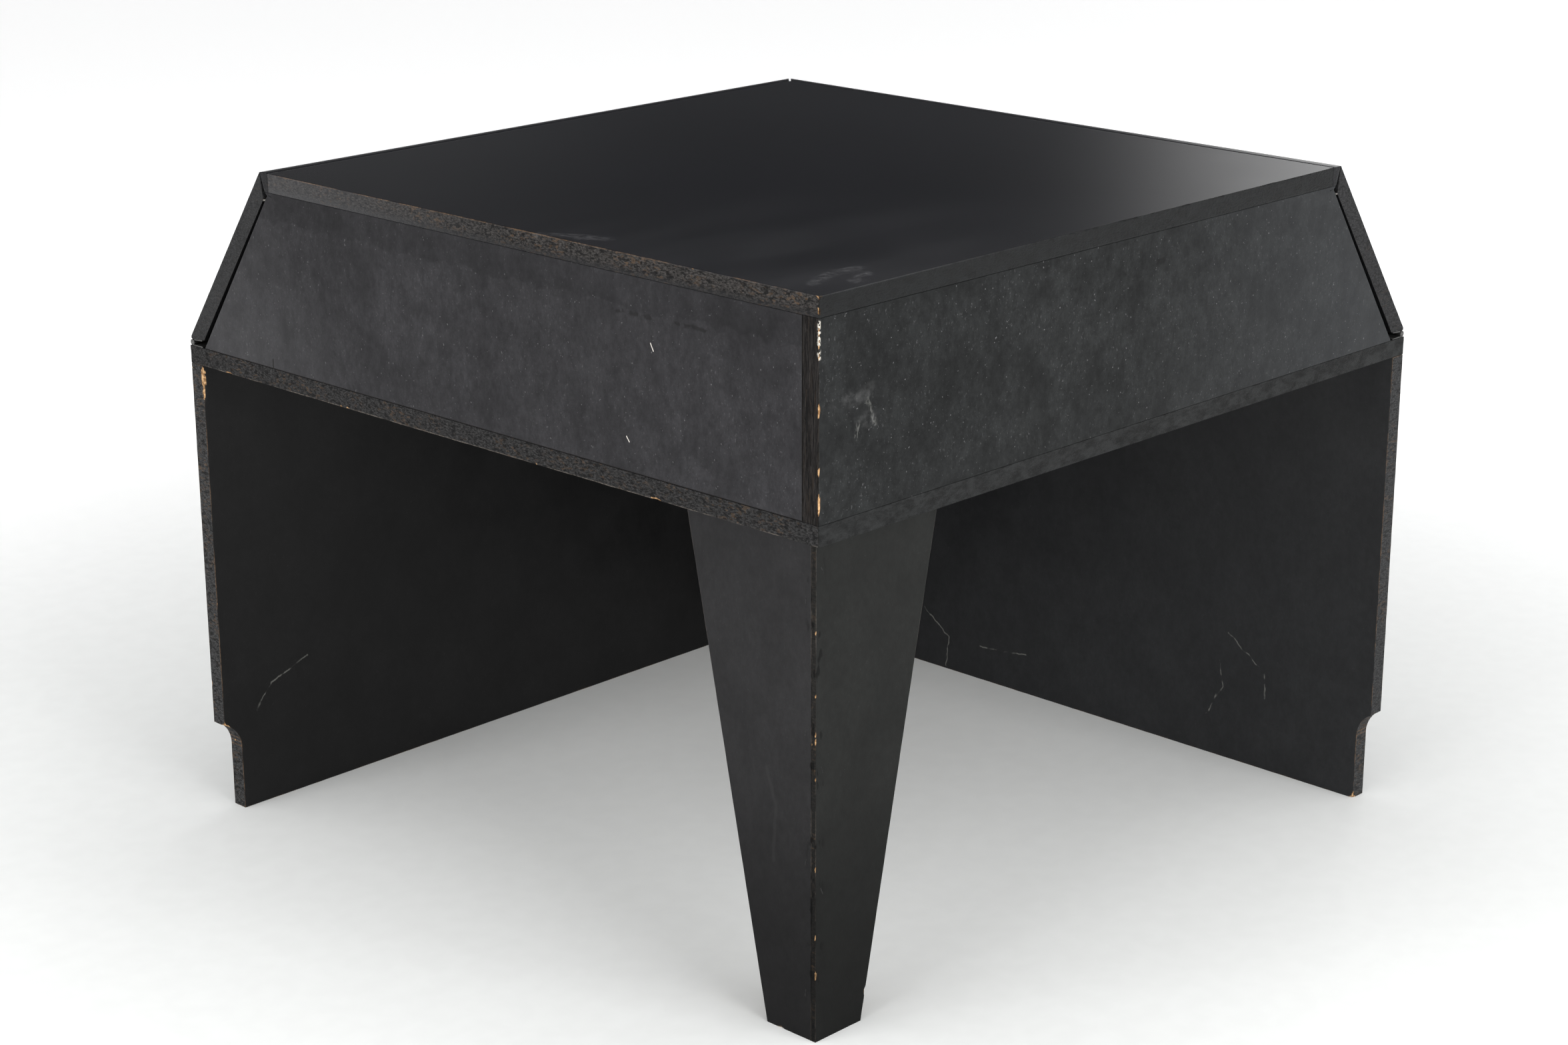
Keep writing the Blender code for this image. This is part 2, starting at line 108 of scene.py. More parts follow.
class Look:
    """A material that is made node by node. Its points are in the object's own space, in metres."""

    def __init__(self, name, metallic=0.0, specular=0.5):
        self.material = bpy.data.materials.new(name)
        self.material.use_nodes = True
        self.tree = self.material.node_tree
        self.shader = self.tree.nodes["Principled BSDF"]
        self.shader.inputs["Metallic"].default_value = metallic
        self.shader.inputs["Specular IOR Level"].default_value = specular
        self.here = self.node("TexCoord").outputs["Object"]

    def node(self, kind, settings=None, inputs=None):
        node = self.tree.nodes.new("ShaderNode" + kind)
        for key, value in (settings or {}).items():
            setattr(node, key, value)
        for key, value in (inputs or {}).items():
            self.feed(node.inputs[key], value)
        return node

    def feed(self, socket, value):
        """Links a socket to another one, or sets its value."""
        if isinstance(value, bpy.types.NodeSocket):
            self.tree.links.new(value, socket)
        else:
            socket.default_value = value

    def attribute(self, name):
        return self.node("Attribute", {"attribute_name": name}).outputs["Fac"]

    def math(self, operation, first, second):
        return self.node("Math", {"operation": operation}, {0: first, 1: second}).outputs[0]

    def times(self, *shares):
        product = shares[0]
        for share in shares[1:]:
            product = self.math("MULTIPLY", product, share)
        return product

    def vector(self, operation, first, second=(0, 0, 0)):
        inputs = {0: first, "Scale" if operation == "SCALE" else 1: second}
        node = self.node("VectorMath", {"operation": operation}, inputs)
        return node.outputs["Value" if operation in ("DOT_PRODUCT", "LENGTH") else "Vector"]

    def axis(self, index):
        return self.node("SeparateXYZ", None, {0: self.here}).outputs[index]

    def ramp(self, value, low, high, first=0.0, last=1.0):
        """Goes smoothly from first to last as the value goes from low to high."""
        if low > high:
            low, high, first, last = high, low, last, first
        ends = {"From Min": low, "From Max": high, "To Min": first, "To Max": last}
        settings = {"interpolation_type": "SMOOTHSTEP"}
        return self.node("MapRange", settings, {"Value": value, **ends}).outputs["Result"]

    def distance(self, place):
        return self.vector("LENGTH", self.vector("SUBTRACT", self.here, place))

    def stretched(self, stretch):
        return self.vector("MULTIPLY", self.here, stretch)

    def noise(self, scale, detail, stretch=(1, 1, 1), rough=0.5):
        inputs = {"Vector": self.stretched(stretch), "Scale": scale, "Detail": detail, "Roughness": rough}
        return self.node("TexNoise", None, inputs).outputs["Fac"]

    def cells(self, scale, stretch):
        """A random number for each cell of a crumbly pattern."""
        inputs = {"Vector": self.stretched(stretch), "Scale": scale}
        colour = self.node("TexVoronoi", None, inputs).outputs["Color"]
        return self.node("SeparateColor", None, {0: colour}).outputs[0]

    def mix(self, share, first, second):
        node = self.node("Mix", {"data_type": "RGBA"}, {0: share, 6: first, 7: second})
        return node.outputs[2]

    def scaled(self, colour, factor):
        return self.vector("SCALE", colour, factor)

    def strokes(self, lines, width, wobble=0.0, wobble_scale=60.0):
        """1 on lines, each a list of points, and 0 away from them."""
        place = self.here
        if wobble:
            inputs = {"Vector": self.here, "Scale": wobble_scale, "Detail": 2.0}
            drift = self.node("TexNoise", None, inputs).outputs["Color"]
            centred = self.vector("SUBTRACT", drift, (0.5, 0.5, 0.5))
            place = self.vector("ADD", place, self.vector("SCALE", centred, wobble))
        share = None
        for line in lines:
            for start, end in zip(line, line[1:]):
                other = self.stroke(place, Vector(start), Vector(end), width)
                share = other if share is None else self.math("MAXIMUM", share, other)
        return share

    def stroke(self, place, start, end, width):
        run = end - start
        off = self.vector("SUBTRACT", place, start)
        along = self.vector("DOT_PRODUCT", off, run / run.length_squared)
        along = self.math("MINIMUM", self.math("MAXIMUM", along, 0.0), 1.0)
        gap = self.vector("LENGTH", self.vector("SUBTRACT", off, self.vector("SCALE", run, along)))
        return self.ramp(gap, width, 0.3 * width)

    def bump(self, height, strength, distance):
        """Adds a bump on top of those that are already there."""
        normal = self.shader.inputs["Normal"]
        inputs = {"Height": height, "Strength": strength, "Distance": distance}
        if normal.is_linked:
            inputs["Normal"] = normal.links[0].from_socket
        self.feed(normal, self.node("Bump", None, inputs).outputs["Normal"])

    def done(self, colour, roughness):
        self.feed(self.shader.inputs["Base Color"], colour)
        self.feed(self.shader.inputs["Roughness"], roughness)
        return self.material


class Paint(Look):
    """Worn black paint on a board. The mesh says where it is rubbed, chipped, and raw on its narrow sides.

    dabs, specks, flakes, bumps and smears are amounts. Each grain is the stretch of its noise.
    """

    ALONG_EDGE = (0.5, 0.5, 1.2)

    def __init__(
        self,
        name,
        tint,
        raw_tint,
        roughness=0.46,
        specular=0.16,
        dabs=0.14,
        specks=0.3,
        flakes=0.5,
        grain=ALONG_EDGE,
        worn_tint=BARE_GREY,
        bumps=0.1,
        smears=0.05,
    ):
        super().__init__(name, specular=specular)
        self.colour = self.face_colour(tint, dabs, specks)
        self.roughness = self.ramp(self.noise(14, 4), 0.3, 0.7, roughness - smears, roughness + smears)
        self.bump(self.noise(650, 3), 0.6 * bumps, 0.001)
        self.bump(self.noise(70, 3), bumps, 0.001)
        self.add_raw_sides(raw_tint, flakes, grain)
        self.add_wear(worn_tint)

    def face_colour(self, tint, dabs, specks):
        """Brushed paint: large clouds, small upright dabs, and fine pale specks."""
        drift = self.ramp(self.noise(3.1, 3), 0.3, 0.7, 0.84, 1.16)
        swing = 1.2 * dabs
        clouds = self.noise(22, 7, (1, 1, 0.85), rough=0.72)
        cloudy = self.ramp(clouds, 0.34, 0.66, 1 - swing, 1 + swing)
        dab = self.noise(150, 6, (1, 1, 0.7), rough=0.8)
        dabbed = self.ramp(dab, 0.34, 0.66, 1 - swing, 1 + swing)
        colour = self.scaled(self.scaled(self.scaled(tint[:3], drift), cloudy), dabbed)
        bright = self.ramp(self.noise(380, 3, (1, 1, 0.6), rough=0.6), 0.58, 0.74)
        pale = self.times(bright, self.ramp(clouds, 0.42, 0.6), 0.45 * specks)
        dust = self.times(self.ramp(self.noise(430, 1), 0.74, 0.80), specks)
        return self.mix(self.math("MAXIMUM", pale, dust), colour, DUST)

    def add_raw_sides(self, tint, flakes, grain):
        """Chipboard that shows through thin paint: particles along the side, brown flakes, dark pits."""
        raw = self.attribute("raw")
        grit = self.ramp(self.noise(560, 5, grain, rough=0.68), 0.36, 0.64, 0.25, 1.8)
        bare = self.ramp(self.cells(420, grain), 0.70, 0.95)
        patchy = self.ramp(self.noise(22, 3), 0.42, 0.62)
        pits = self.ramp(self.noise(240, 3, grain, rough=0.6), 0.47, 0.39)
        colour = self.mix(self.times(bare, patchy, flakes), self.scaled(tint[:3], grit), FLAKE_BROWN)
        colour = self.mix(self.times(pits, 0.85), colour, PIT_BLACK)
        self.colour = self.mix(raw, self.colour, colour)
        self.roughness = self.ramp(raw, 0.0, 1.0, self.roughness, 0.9)
        self.bump(self.times(raw, grit), 0.5, 0.0008)

    def add_wear(self, tint):
        """Paint rubbed off along the arrises, and bare wood in the chips."""
        rubbed = self.ramp(self.attribute("worn"), 0.25, 0.9)
        patches = self.ramp(self.noise(34, 4, rough=0.65), 0.40, 0.62)
        fine = self.ramp(self.noise(300, 3, rough=0.7), 0.36, 0.6, 0.3, 1.0)
        self.mark(self.times(rubbed, patches, fine), tint)
        wood = self.mix(self.ramp(self.noise(420, 3), 0.4, 0.6), WOOD_DARK, WOOD_PALE)
        bare = self.ramp(self.attribute("chip"), 0.15, 0.45)
        self.mark(bare, wood)
        self.roughness = self.ramp(bare, 0.0, 1.0, self.roughness, 0.9)

    def mark(self, share, colour):
        self.colour = self.mix(share, self.colour, colour)

    def finish(self):
        return self.done(self.colour, self.roughness)


# Board meshes


def whole_solid(node, filled):
    """The node's solid with its flat faces whole. Filled, it is the solid before its holes were cut."""
    solid = bmesh.new()
    solid.from_mesh(frame["nodes"][node].data)
    bmesh.ops.remove_doubles(solid, verts=solid.verts, dist=WELD)
    if filled:
        corners = [vert.co.copy() for vert in solid.verts]
        solid.clear()
        for corner in corners:
            solid.verts.new(corner)
        made = bmesh.ops.convex_hull(solid, input=solid.verts)
        spare = {*made["geom_interior"], *made["geom_unused"]}
        bmesh.ops.delete(solid, geom=[v for v in spare if isinstance(v, bmesh.types.BMVert)])
    bmesh.ops.dissolve_limit(solid, angle_limit=FLAT_ANGLE, verts=solid.verts, edges=solid.edges)
    solid.normal_update()
    return solid


def face_towards(solid, direction, apart_from=None):
    """The largest face that looks in a direction, and has no corner in common with another face."""
    taken = set(apart_from.verts) if apart_from else set()
    faces = [face for face in solid.faces if not taken.intersection(face.verts)]
    return max(faces, key=lambda face: face.calc_area() * face.normal.dot(direction))


def mitres(face):
    """How each corner of the face moves as its outline is drawn in by 1."""
    found = {}
    loops = list(face.loops)
    for before, loop in zip([loops[-1], *loops], loops):
        last = (loop.vert.co - before.vert.co).normalized()
        next_way = (loop.link_loop_next.vert.co - loop.vert.co).normalized()
        inner_last = face.normal.cross(last)
        inner_next = face.normal.cross(next_way)
        found[loop.vert] = (inner_last + inner_next) / (1 + inner_last.dot(inner_next))
    return found


def way_across(start, front, back):
    """The corners on the way from a corner of the front face to the back face, and the last of them."""
    points, last, here = [start.co.copy()], None, start
    while here not in back.verts:
        ways = [edge for edge in here.link_edges if edge not in front.edges and edge != last]
        last = min(ways, key=lambda edge: edge.calc_length())
        here = last.other_vert(here)
        points.append(here.co.copy())
    return points, here


def point_along(points, distance):
    for start, end in zip(points, points[1:]):
        length = (end - start).length
        if distance <= length:
            return start.lerp(end, distance / length)
        distance -= length
    return points[-1].copy()


def corner_levels(points, front_mitre, back_mitre, rows):
    """The points of a corner's column, from the front face's rim over the side to the back face's."""
    inwards = (points[1] - points[0]).normalized()
    outwards = (points[-2] - points[-1]).normalized()
    front = [points[0] + front_mitre * inset for inset in RIM]
    front.append(points[0] + (front_mitre + inwards) * ARRIS * ROUND_SHARE)
    back = [points[-1] + back_mitre * inset for inset in RIM]
    back.append(points[-1] + (back_mitre + outwards) * ARRIS * ROUND_SHARE)
    length = sum((b - a).length for a, b in zip(points, points[1:]))
    step = (length - 2 * ARRIS) / rows
    return front + [point_along(points, ARRIS + step * k) for k in range(rows + 1)] + back[::-1]


def level_distances(thickness, rows):
    """How far each level is from the nearest arris."""
    step = (thickness - 2 * ARRIS) / rows
    side = [ARRIS + step * k for k in range(rows + 1)]
    side = [min(depth, thickness - depth) for depth in side]
    return [*RIM, 0.0, *side, 0.0, *RIM[::-1]]


class Board:
    """A mesh over a prism-like solid: columns of points round its narrow sides, and two flat faces."""

    def __init__(self, node, front, filled=False):
        solid = whole_solid(node, filled)
        face = face_towards(solid, Vector(front))
        back = face_towards(solid, -face.normal, face)
        front_mitres, back_mitres = mitres(face), mitres(back)
        ways = [way_across(loop.vert, face, back) for loop in face.loops]
        thickness = min((points[-1] - points[0]).length for points, _ in ways)
        self.rows = max(3, round(thickness / ROW))
        corners = [
            corner_levels(points, front_mitres[loop.vert], back_mitres[last], self.rows)
            for loop, (points, last) in zip(face.loops, ways)
        ]
        self.columns, self.from_corner = [], []
        for first, second in zip(corners, corners[1:] + corners[:1]):
            self.add_stretch(first, second)
        self.distances = level_distances(thickness, self.rows)
        solid.free()

    def add_stretch(self, first, second):
        """Columns from one corner to just before the next."""
        length = (second[len(RIM)] - first[len(RIM)]).length
        shares = [0.0]
        if length > 4 * ARRIS:
            steps = max(1, round(length / STEP))
            shares += [ARRIS / length]
            shares += [k / steps for k in range(1, steps)]
            shares += [1 - ARRIS / length]
        for share in shares:
            self.columns.append([a.lerp(b, share) for a, b in zip(first, second)])
            self.from_corner.append(min(share, 1 - share) * length)

    def mesh(self):
        """The closed mesh, with its distance from the nearest arris at each point."""
        made = bmesh.new()
        edge = made.verts.layers.float.new("edge")
        side = made.verts.layers.float.new("side")
        rows = []
        rim = len(RIM)
        for column, from_corner in zip(self.columns, self.from_corner):
            row = [made.verts.new(point) for point in column]
            for level, vert in enumerate(row):
                on_side = rim < level < len(row) - 1 - rim
                distance = self.distances[level]
                vert[edge] = min(distance, from_corner) if on_side else distance
                vert[side] = float(on_side)
            rows.append(row)
        for first, second in zip(rows, rows[1:] + rows[:1]):
            for level in range(len(first) - 1):
                corners = (first[level], first[level + 1], second[level + 1], second[level])
                made.faces.new(corners).smooth = True
        made.faces.new([row[0] for row in rows])
        made.faces.new([row[-1] for row in reversed(rows)])
        made.normal_update()
        return made


def chip_depth(point, amount):
    """How deep the arris is chipped at a point: mostly nothing, with clusters of small chips."""
    clusters = noise.noise(point * 14 + Vector((3.1, 7.7, 1.9)))
    chips = noise.noise(point * 130) + 0.6 * noise.noise(point * 330)
    depth = chips + 0.5 * clusters - 1.05 + 0.45 * amount
    return 0.0022 * max(0.0, min(depth, 0.8)) * amount


def knock_depth(point, knocks):
    """How deep the arris is at a knock, each given as its place, its radius and its depth."""
    depth = 0.0
    for place, radius, deepest in knocks:
        share = 1 - ((point - Vector(place)).length / radius) ** 2
        ragged = 1 + 0.5 * noise.noise(point * 600)
        depth = max(depth, deepest * share * ragged)
    return depth


def weather(made, raw_at, wear_at, knocks):
    """Moves the points inwards where the board is chipped, rubbed or pitted, and notes where that is."""
    edge = made.verts.layers.float["edge"]
    side = made.verts.layers.float["side"]
    raw = made.verts.layers.float.new("raw")
    chip = made.verts.layers.float.new("chip")
    worn = made.verts.layers.float.new("worn")
    for vert in made.verts:
        normal = vert.normal.copy()
        point = vert.co.copy()
        wear = wear_at(point, normal)
        depth = max(chip_depth(point, wear), knock_depth(point, knocks))
        rubbed = 0.00025 * wear * (1 + noise.noise(point * 60))
        sunk = max(0.0, depth - vert[edge]) + max(0.0, rubbed - 0.5 * vert[edge])
        rawness = raw_at(point, normal) * vert[side]
        pits = max(0.0, noise.noise(point * 240) + 0.5 * noise.noise(point * 520) - 0.1)
        sunk += 0.0008 * rawness * pits
        vert[raw] = rawness
        vert[chip] = min(1.0, max(0.0, depth - vert[edge]) / 0.0006)
        vert[worn] = wear * max(0.0, 1 - vert[edge] / WORN_WIDTH)
        vert.co = point - normal * sunk
    made.normal_update()


def make_board(node, body, front, look, raw_at, wear_at, filled=False, knocks=()):
    """A detailed board in place of a CAD node."""
    made = Board(node, front, filled).mesh()
    weather(made, raw_at, wear_at, knocks)
    name = f"{node}_board"
    mesh = bpy.data.meshes.new(name)
    made.to_mesh(mesh)
    made.free()
    mesh.set_sharp_from_angle(angle=SHARP_ANGLE)
    mesh.materials.append(look.finish())
    board = bpy.data.objects.new(name, mesh)
    bpy.context.scene.collection.objects.link(board)
    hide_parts(node)
    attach(board, body)


# Boards


def even(amount):
    return lambda point, normal: amount


def by_side(wall_a, wall_b, other):
    """An amount for the side that looks towards -X, the one towards -Y, and for the others."""

    def amount(point, normal):
        if normal.x < -SIDEWAYS:
            return wall_a
        return wall_b if normal.y < -SIDEWAYS else other

    return amount


def share_between(value, low, high):
    return max(0.0, min(1.0, (value - low) / (high - low)))


def make_top():
    low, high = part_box("top_board")

    def rawness(point, normal):
        """The side to the left wall is rough, mostly in its upper part and near the corner."""
        if normal.x > -SIDEWAYS:
            return 0.2 if normal.y < -SIDEWAYS else 0.1
        upper = 0.35 + 0.65 * share_between(point.z, low.z + 0.002, low.z + 0.008)
        near = 0.75 + 0.25 * share_between(-point.y, -0.2, 0.25)
        return upper * near

    def wear(point, normal):
        """Only the upper arrises of the two wall sides show."""
        at_flaps = point.x > high.x - AT_ARRIS or point.y > high.y - AT_ARRIS
        if at_flaps or point.z < high.z - 0.006:
            return 0.0
        return 0.8 if point.x < low.x + AT_ARRIS else 0.4

    smooth = {"roughness": 0.26, "specular": 0.12, "dabs": 0.03}
    smooth.update(specks=0.05, bumps=0.004, smears=0.004)
    raw_tint = (0.028, 0.0260, 0.0248, 1)
    look = Paint("top_paint", TOP_BLACK, raw_tint, flakes=0.38, worn_tint=BARE_BROWN, **smooth)
    add_top_marks(look, low, high)
    knocks = [
        ((low.x, low.y, high.z), 0.004, 0.0012),
        ((low.x, low.y, low.z + 0.006), 0.004, 0.0010),
    ]
    make_board("top_board", "frame", (0, 0, 1), look, rawness, wear, knocks=knocks)
    for side in SIDES:
        name = f"{side}_top_lipping"
        lipping = Paint(f"{side}_lipping_paint", TOP_BLACK, (0.018, 0.018, 0.019, 1), flakes=0.1, **smooth)
        make_board(name, "frame", OUTWARDS[side], lipping, by_side(0.3, 0.2, 0.0), even(0.0))


def repaint_right_side(look, low, tint):
    """The side to the right wall has more paint on it than the one to the left wall."""
    on_side = look.ramp(look.axis(1), low.y + 0.0015, low.y + 0.0005)
    streaks = look.ramp(look.noise(150, 6, (0.5, 1, 1), rough=0.75), 0.36, 0.64, 0.4, 1.6)
    look.mark(look.times(on_side, 0.95), look.scaled(tint, streaks))


def add_top_marks(look, low, high):
    """Pale dust on the left side's far half, and a haze and scuffs near the wall corner."""
    repaint_right_side(look, low, (0.0026, 0.0031, 0.0033))
    on_left = look.ramp(look.axis(0), low.x + 0.0015, low.x + 0.0005)
    look.mark(look.times(on_left, look.ramp(look.axis(1), -0.1, 0.35), 0.22), (0.13, 0.13, 0.135, 1))
    z = high.z
    on_top = look.ramp(look.axis(2), z - 0.0015, z - 0.0005)
    turned = {"Vector": look.here, "Rotation": (0, 0, math.radians(45)), "Scale": (0.35, 1, 1)}
    place = look.node("Mapping", None, turned).outputs[0]
    haze = look.node("TexNoise", None, {"Vector": place, "Scale": 11, "Detail": 2}).outputs["Fac"]
    near = look.ramp(look.distance((low.x, low.y, z)), 0.5, 0.02)
    look.mark(look.times(on_top, near, look.ramp(haze, 0.25, 0.75, 0.3, 1.0), 0.22), HAZE)
    scuffs = [
        [(-0.418, -0.415, z), (-0.392, -0.402, z), (-0.352, -0.404, z)],
        [(-0.390, -0.436, z), (-0.362, -0.420, z)],
        [(-0.446, -0.105, z), (-0.424, -0.160, z)],
    ]
    smear = look.strokes(scuffs, 0.011, 0.02, 35)
    broken = look.ramp(look.noise(150, 5, rough=0.65), 0.35, 0.8)
    look.mark(look.times(smear, broken, 0.45), SCUFF)


def make_base():
    low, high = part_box("base_board")

    def wear(point, normal):
        """The fascias hide the upper arris of the wall sides."""
        on_wall = min(point.x, point.y) < low.x + AT_ARRIS
        if on_wall and point.z > high.z - AT_ARRIS:
            return 0.0
        return 0.85 if point.x < low.x + AT_ARRIS else 0.3

    tint, raw_tint = (0.0060, 0.0061, 0.0064, 1), (0.024, 0.0235, 0.0235, 1)
    look = Paint("base_paint", tint, raw_tint, specular=0.10, flakes=0.35)
    repaint_right_side(look, low, (0.0098, 0.0103, 0.0104))
    knocks = [
        ((low.x, -0.250, low.z), 0.006, 0.0020),
        ((low.x, 0.385, low.z), 0.006, 0.0012),
    ]
    rawness = by_side(0.75, 0.25, 0.3)
    make_board("base_board", "frame", (0, 0, 1), look, rawness, wear, filled=True, knocks=knocks)


def between_boards(node, amount):
    """Wear for a fascia, whose upper and lower arrises are in the joints with the boards."""
    low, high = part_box(node)

    def wear(point, normal):
        return amount if low.z + 0.003 < point.z < high.z - 0.003 else 0.0

    return wear


def make_fascias():
    # The right fascia's tint is darker than the left one's: partly the paint's own tone, and partly
    # painted shade for the side that faces -Y.
    left = Paint(
        "left_fascia_paint",
        tint=(0.0184, 0.0180, 0.0196, 1),
        raw_tint=(0.030, 0.030, 0.030, 1),
        specular=0.07,
        dabs=0.18,
        specks=0.7,
    )
    add_left_fascia_marks(left)
    make_board("left_fascia", "frame", (-1, 0, 0), left, even(0.3), between_boards("left_fascia", 0.15))
    right = Paint(
        "right_fascia_paint",
        tint=(0.0096, 0.0103, 0.0104, 1),
        raw_tint=(0.0135, 0.0122, 0.0116, 1),
        specular=0.07,
        dabs=0.26,
        specks=0.9,
        flakes=0.07,
        grain=(2.2, 2.2, 0.12),
    )
    add_right_fascia_marks(right)
    x, y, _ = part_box("right_fascia")[0]
    knocks = [
        ((x, y, 0.6960), 0.006, 0.0008),
        ((x, y, 0.6850), 0.005, 0.0008),
        ((x, y, 0.6740), 0.004, 0.0007),
        ((x, y, 0.6260), 0.007, 0.0015),
        ((x, y, 0.5730), 0.004, 0.0014),
        ((x, y, 0.5435), 0.010, 0.0019),
    ]
    wear = between_boards("right_fascia", 0.45)
    make_board("right_fascia", "frame", (0, -1, 0), right, by_side(0.95, 0.2, 0.3), wear, knocks=knocks)


def add_left_fascia_marks(look):
    """A dark band under the top, a pale lower end, two nicks, dents, a split and open joints."""
    low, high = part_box("left_fascia")
    x = low.x
    ragged = look.math("ADD", look.axis(2), look.ramp(look.noise(60, 3), 0.3, 0.7, -0.004, 0.004))
    under_top = look.ramp(ragged, high.z - 0.030, high.z - 0.027)
    look.mark(look.times(under_top, 0.28), (0.004, 0.004, 0.0045, 1))
    low_left = look.distance((x, 0.38, low.z))
    look.mark(look.ramp(low_left, 0.22, 0.02, 0.0, 0.085), RUBBED)
    nicks = [
        [(x, -0.246, 0.6495), (x, -0.2495, 0.6430)],
        [(x, -0.213, 0.5575), (x, -0.2165, 0.5530)],
    ]
    look.mark(look.times(look.strokes(nicks, 0.0008), 0.9), NICK_PALE)
    dents = look.strokes([[(x, -0.195, 0.6725), (x, -0.320, 0.6730)]], 0.003, 0.006, 120)
    dents = look.times(dents, look.ramp(look.noise(75, 2), 0.52, 0.6))
    look.mark(look.times(dents, 0.7), (0.006, 0.006, 0.006, 1))
    split = look.strokes([[(x, 0.308, 0.5345), (x, 0.3085, 0.5240)]], 0.0010)
    below = look.ramp(look.axis(2), low.z + 0.0011, low.z + 0.0004)
    beside = look.ramp(look.axis(1), low.y + 0.0011, low.y + 0.0004)
    joints = look.math("MAXIMUM", look.math("MAXIMUM", below, beside), split)
    look.mark(joints, JOINT_BLACK)


def add_right_fascia_marks(look):
    """A paler far half, scuffs with a haze round them, filler on the corner, and dents."""
    x, y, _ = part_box("right_fascia")[0]
    far_half = look.ramp(look.axis(0), -0.05, 0.42)
    look.mark(look.times(far_half, 0.13), (0.12, 0.125, 0.135, 1))
    scuffs = [
        [(-0.390, y, 0.625), (-0.379, y, 0.602)],
        [(-0.401, y, 0.607), (-0.404, y, 0.594)],
    ]
    broken = look.ramp(look.noise(420, 4, (1, 1, 0.5)), 0.4, 0.65)
    smear = look.times(look.strokes(scuffs, 0.0034, 0.005, 120), broken)
    look.mark(look.times(smear, 0.5), (0.15, 0.15, 0.14, 1))
    hazes = [
        [(-0.436, y, 0.632), (-0.400, y, 0.628), (-0.388, y, 0.632)],
        [(-0.398, y, 0.610), (-0.386, y, 0.608)],
    ]
    haze = look.times(look.strokes(hazes, 0.010, 0.014, 60), look.ramp(look.noise(110, 4), 0.4, 0.7))
    look.mark(look.times(haze, 0.25), (0.10, 0.10, 0.10, 1))
    filler = look.strokes([[(x, y, 0.703), (x, y, 0.672)]], 0.0024, 0.003, 300)
    filler = look.times(filler, look.ramp(look.noise(240, 3), 0.50, 0.55))
    look.mark(filler, FILLER)
    dents = look.strokes([[(-0.20, y, 0.668), (0.03, y, 0.678)]], 0.005, 0.012, 60)
    dents = look.times(dents, look.ramp(look.noise(90, 2, (1, 1, 0.6)), 0.56, 0.66))
    look.mark(look.times(dents, 0.6), (0.003, 0.003, 0.003, 1))


def make_side_panels():
    # The left panel's tint is darker than the right one's: partly the paint's own tone, and partly painted
    # shade for the face that looks towards -Y.
    tints = {"left": (0.0050, 0.0050, 0.0051, 1), "right": (0.0110, 0.0114, 0.0122, 1)}
    left_end, inner_y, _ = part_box("left_side_panel")[0]
    inner_x, right_end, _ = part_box("right_side_panel")[0]
    left_cracks = [[(-0.406, inner_y, 0.108), (-0.385, inner_y, 0.135), (-0.335, inner_y, 0.153)]]
    right_cracks = [
        [(inner_x, 0.197, 0.072), (inner_x, 0.157, 0.042), (inner_x, 0.160, 0.004)],
        [(inner_x, 0.108, 0.042), (inner_x, 0.070, 0.044), (inner_x, 0.035, 0.050)],
        [(inner_x, -0.247, 0.115), (inner_x, -0.252, 0.085), (inner_x, -0.230, 0.046)],
        [(inner_x, -0.257, 0.150), (inner_x, -0.308, 0.114), (inner_x, -0.311, 0.085)],
    ]
    left_knocks = [
        ((left_end, inner_y, 0.492), 0.013, 0.0036),
        ((left_end, inner_y, 0.476), 0.008, 0.0022),
        ((left_end + 0.002, inner_y, 0.100), 0.006, 0.0016),
    ]
    right_knocks = [
        ((inner_x, right_end + 0.017, 0.002), 0.006, 0.0018),
        ((inner_x + 0.009, right_end, 0.450), 0.004, 0.0010),
    ]
    marks = {"left": (left_cracks, left_knocks), "right": (right_cracks, right_knocks)}
    rawness = by_side(0.75, 0.55, 0.6)
    for side, (cracks, knocks) in marks.items():
        look = Paint(
            f"{side}_panel_paint",
            tint=tints[side],
            raw_tint=(0.034, 0.034, 0.0345, 1),
            roughness=0.38,
            dabs=0.1,
            specks=0.08,
            worn_tint=BARE_BROWN,
        )
        line = look.strokes(cracks, 0.0012, 0.007, 70)
        look.mark(look.times(line, look.ramp(look.noise(60, 3), 0.32, 0.58), 0.75), CRACK)
        make_board(f"{side}_side_panel", "frame", OUTWARDS[side], look, rawness, even(0.7), knocks=knocks)


def make_flaps():
    for side in SIDES:
        look = Paint(
            f"{side}_flap_paint",
            tint=(0.0070, 0.0070, 0.0076, 1),
            raw_tint=(0.024, 0.024, 0.025, 1),
            roughness=0.38,
            dabs=0.08,
            specks=0.2,
            flakes=0.1,
        )
        front = OUTWARDS[side] + Vector((0, 0, 0.7))
        rawness = by_side(0.35, 0.55, 0.2)
        make_board(f"{side}_flap", f"{side}_flap", front, look, rawness, even(0.4), filled=True)


